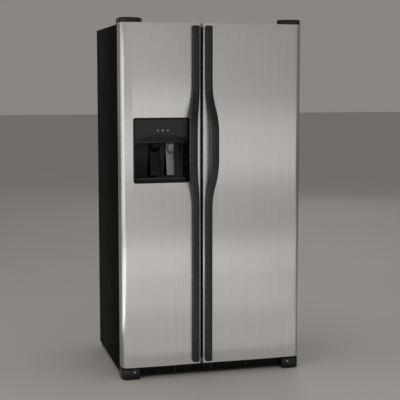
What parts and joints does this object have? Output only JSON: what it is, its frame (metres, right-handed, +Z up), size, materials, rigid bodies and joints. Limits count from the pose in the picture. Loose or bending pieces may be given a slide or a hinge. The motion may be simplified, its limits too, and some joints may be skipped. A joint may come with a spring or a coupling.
{
  "type": "side by side refrigerator",
  "caption": "Two-door side by side refrigerator with ice and water dispenser, bowed full-length handles, shelves, drawers and door bins inside.",
  "frame": {"origin": "on the floor, under the centre of the whole appliance's bounding box", "axes": "+Z up, +X to the right seen from the front, doors face -Y"},
  "size_m": [0.914, 0.7542, 1.761],
  "materials": {
    "stainless": "vertically brushed stainless steel",
    "case_paint": "textured black paint",
    "galvanised": "galvanised steel",
    "foam": "polyurethane foam",
    "liner_white": "vacuum formed white plastic",
    "black_plastic": "semi-gloss black plastic",
    "dispenser_black": "gloss black plastic",
    "panel_grey": "dark grey semi-gloss plastic",
    "button_grey": "grey rubberised plastic",
    "clear_grey": "smoked translucent plastic",
    "gasket": "magnetic door gasket",
    "clear_plastic": "clear moulded plastic",
    "glass": "tempered shelf glass",
    "white_plastic": "white moulded plastic",
    "steel": "zinc plated steel",
    "compressor_black": "black enamelled steel",
    "evaporator": "aluminium fins and tube",
    "grey_plastic": "grey moulded plastic"
  },
  "bodies": {
    "cabinet": {"freezer_liner": "liner_white", "fridge_liner": "liner_white", "shelf_rails": "liner_white", "cabinet_shell": "case_paint", "rear_panel": "galvanised", "foam_insulation": "foam", "hinge_brackets": "steel", "hinge_covers": "black_plastic", "corner_covers": "black_plastic", "cover_screws": "steel", "toe_grille": "black_plastic", "base_frame": "galvanised", "compressor": "compressor_black", "condenser_coil": "compressor_black", "machine_cover": "galvanised", "water_inlet_valve": "grey_plastic", "power_cord_gland": "grey_plastic", "evaporator": "evaporator", "evaporator_cover": "liner_white", "shelf_frames": "white_plastic", "shelf_glass": "glass", "ice_bin": "liner_white", "ice_maker": "liner_white", "control_box": "liner_white", "interior_lamps": "clear_plastic"},
    "freezer_door": {"freezer_door_skin": "stainless", "freezer_door_foam": "foam", "freezer_door_liner": "liner_white", "freezer_door_gasket": "gasket", "freezer_door_bins": "clear_plastic", "freezer_handle": "black_plastic", "dispenser_housing": "dispenser_black", "dispenser_panel": "panel_grey", "drip_tray": "dispenser_black"},
    "fridge_door": {"fridge_door_skin": "stainless", "fridge_door_foam": "foam", "fridge_door_liner": "liner_white", "fridge_door_gasket": "gasket", "fridge_door_bins": "clear_plastic", "fridge_handle": "black_plastic"},
    "water_button": {"water_button": "button_grey"},
    "ice_button": {"ice_button": "button_grey"},
    "lock_button": {"lock_button": "button_grey"},
    "ice_paddle": {"ice_paddle": "dispenser_black"},
    "water_paddle": {"water_paddle": "clear_grey"},
    "chute_flap": {"chute_flap": "dispenser_black"},
    "dairy_door": {"dairy_door": "clear_plastic"},
    "front_left_roller": {"front_left_roller": "grey_plastic"},
    "front_right_roller": {"front_right_roller": "grey_plastic"},
    "rear_left_roller": {"rear_left_roller": "grey_plastic"},
    "rear_right_roller": {"rear_right_roller": "grey_plastic"},
    "left_leveling_leg": {"left_leveling_leg": "steel"},
    "right_leveling_leg": {"right_leveling_leg": "steel"},
    "condenser_fan": {"condenser_fan": "grey_plastic"},
    "evaporator_fan": {"evaporator_fan": "white_plastic"},
    "freezer_basket": {"freezer_basket": "clear_plastic"},
    "crisper_drawer": {"crisper_drawer": "clear_plastic"},
    "deli_drawer": {"deli_drawer": "clear_plastic"},
    "freezer_knob": {"freezer_knob": "button_grey"},
    "fridge_knob": {"fridge_knob": "button_grey"}
  },
  "joints": [
    {"name": "freezer_door_hinge", "type": "hinge", "parent": "cabinet", "child": "freezer_door", "pos_m": [-0.432, -0.28792, 0.06], "axis": [0, 0, -1], "range_deg": [0, 130]},
    {"name": "fridge_door_hinge", "type": "hinge", "parent": "cabinet", "child": "fridge_door", "pos_m": [0.432, -0.28792, 0.06], "axis": [0, 0, 1], "range_deg": [0, 130]},
    {"name": "ice_paddle_pivot", "type": "hinge", "parent": "freezer_door", "child": "ice_paddle", "pos_m": [-0.275, -0.23392, 1.155], "axis": [1, 0, 0], "range_deg": [0, 9], "stiffness_Nm_per_rad": 0.6, "springref_deg": -2.86},
    {"name": "water_paddle_pivot", "type": "hinge", "parent": "freezer_door", "child": "water_paddle", "pos_m": [-0.2, -0.23392, 1.155], "axis": [1, 0, 0], "range_deg": [0, 9], "stiffness_Nm_per_rad": 0.6, "springref_deg": -2.86},
    {"name": "chute_flap_pivot", "type": "hinge", "parent": "freezer_door", "child": "chute_flap", "pos_m": [-0.275, -0.24492, 1.1605], "axis": [1, 0, 0], "range_deg": [0, 36]},
    {"name": "water_button_travel", "type": "slide", "parent": "freezer_door", "child": "water_button", "axis": [0, 1, 0], "range_m": [0, 0.0012], "stiffness_N_per_m": 400, "springref_m": -0.0005},
    {"name": "ice_button_travel", "type": "slide", "parent": "freezer_door", "child": "ice_button", "axis": [0, 1, 0], "range_m": [0, 0.0012], "stiffness_N_per_m": 400, "springref_m": -0.0005},
    {"name": "lock_button_travel", "type": "slide", "parent": "freezer_door", "child": "lock_button", "axis": [0, 1, 0], "range_m": [0, 0.0012], "stiffness_N_per_m": 400, "springref_m": -0.0005},
    {"name": "dairy_door_pivot", "type": "hinge", "parent": "fridge_door", "child": "dairy_door", "pos_m": [0.193, -0.15692, 1.59], "axis": [1, 0, 0], "range_deg": [0, 75]},
    {"name": "front_left_roller_spin", "type": "hinge", "parent": "cabinet", "child": "front_left_roller", "pos_m": [-0.405, -0.18492, 0.02], "axis": [1, 0, 0], "continuous": true},
    {"name": "front_right_roller_spin", "type": "hinge", "parent": "cabinet", "child": "front_right_roller", "pos_m": [0.405, -0.18492, 0.02], "axis": [1, 0, 0], "continuous": true},
    {"name": "rear_left_roller_spin", "type": "hinge", "parent": "cabinet", "child": "rear_left_roller", "pos_m": [-0.405, 0.31708, 0.02], "axis": [1, 0, 0], "continuous": true},
    {"name": "rear_right_roller_spin", "type": "hinge", "parent": "cabinet", "child": "rear_right_roller", "pos_m": [0.405, 0.31708, 0.02], "axis": [1, 0, 0], "continuous": true},
    {"name": "left_leg_screw", "type": "slide", "parent": "cabinet", "child": "left_leveling_leg", "axis": [0, 0, 1], "range_m": [0, 0.012]},
    {"name": "right_leg_screw", "type": "slide", "parent": "cabinet", "child": "right_leveling_leg", "axis": [0, 0, 1], "range_m": [0, 0.012]},
    {"name": "condenser_fan_spin", "type": "hinge", "parent": "cabinet", "child": "condenser_fan", "pos_m": [0.045, 0.26708, 0.14], "axis": [1, 0, 0], "continuous": true},
    {"name": "evaporator_fan_spin", "type": "hinge", "parent": "cabinet", "child": "evaporator_fan", "pos_m": [-0.241, 0.27208, 1.215], "axis": [0, 1, 0], "continuous": true},
    {"name": "freezer_basket_slide", "type": "slide", "parent": "cabinet", "child": "freezer_basket", "axis": [0, -1, 0], "range_m": [0, 0.09]},
    {"name": "crisper_drawer_slide", "type": "slide", "parent": "cabinet", "child": "crisper_drawer", "axis": [0, -1, 0], "range_m": [0, 0.09]},
    {"name": "deli_drawer_slide", "type": "slide", "parent": "cabinet", "child": "deli_drawer", "axis": [0, -1, 0], "range_m": [0, 0.09]},
    {"name": "freezer_knob_turn", "type": "hinge", "parent": "cabinet", "child": "freezer_knob", "pos_m": [0.1405, -0.05492, 1.645], "axis": [0, 1, 0], "range_deg": [-130, 130]},
    {"name": "fridge_knob_turn", "type": "hinge", "parent": "cabinet", "child": "fridge_knob", "pos_m": [0.2365, -0.05492, 1.645], "axis": [0, 1, 0], "range_deg": [-130, 130]}
  ],
  "couplings": [
    {"joint": "chute_flap_pivot", "follows": "ice_paddle_pivot", "ratio": 4}
  ]
}
